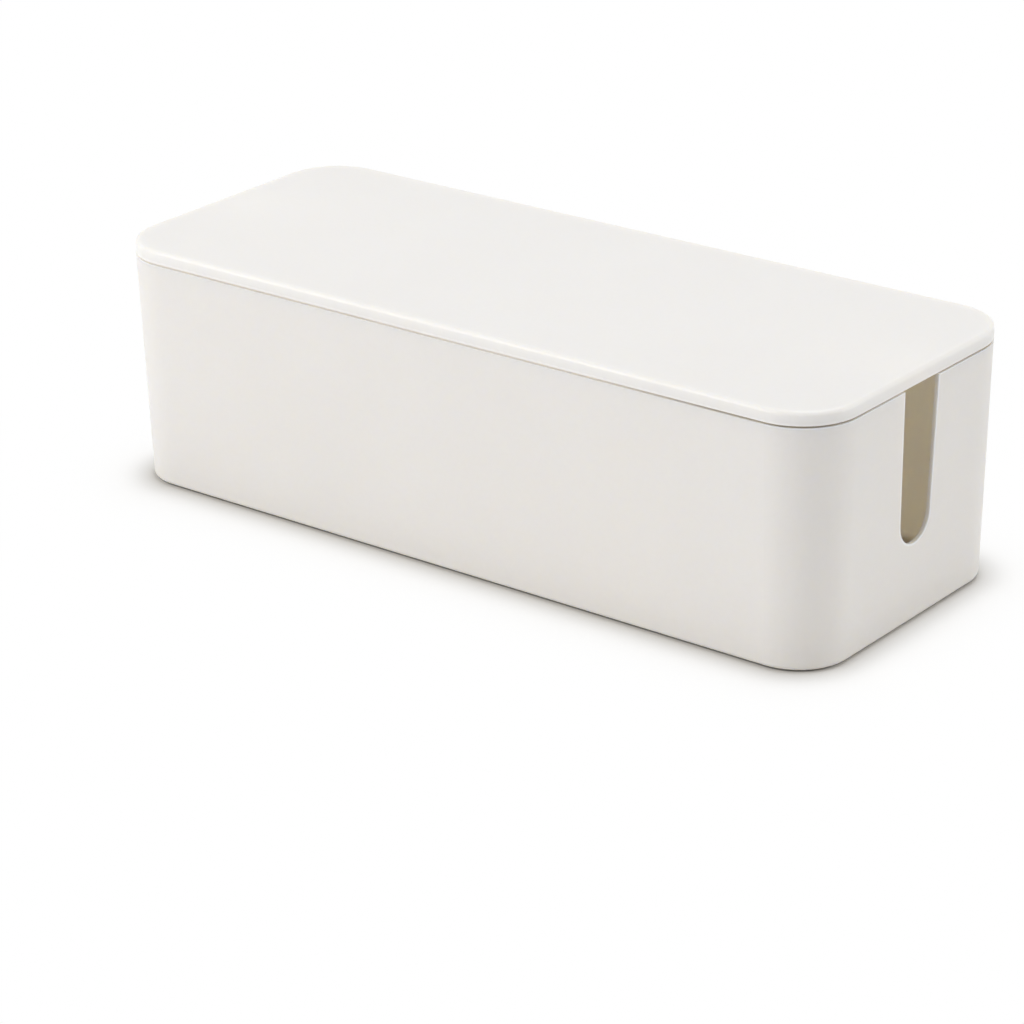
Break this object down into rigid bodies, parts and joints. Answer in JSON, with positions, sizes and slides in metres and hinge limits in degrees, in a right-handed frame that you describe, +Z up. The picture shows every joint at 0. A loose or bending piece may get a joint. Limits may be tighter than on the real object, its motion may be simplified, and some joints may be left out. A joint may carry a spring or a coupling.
{
  "type": "cable management box",
  "caption": "Long lidded plastic box with rounded corners and an open cable slot in each end, for hiding a power strip and its spare cable.",
  "frame": {"origin": "bottom centre of the bounding box, on the surface that the feet stand on", "axes": "+X along the length, +Y across the width from front to back, +Z up"},
  "size_m": [0.4, 0.157, 0.12],
  "materials": {
    "tub_plastic": "fine moulded grain, warm white",
    "lid_plastic": "fine moulded grain, warm white",
    "foot_rubber": "matt grey"
  },
  "bodies": {
    "tub": {"tub": "tub_plastic", "foot_left_front": "foot_rubber", "foot_left_back": "foot_rubber", "foot_right_front": "foot_rubber", "foot_right_back": "foot_rubber"},
    "lid": {"lid": "lid_plastic"}
  },
  "joints": [
    {"name": "lid_lift", "type": "slide", "parent": "tub", "child": "lid", "axis": [0, 0, 1], "range_m": [0, 0.18]}
  ]
}
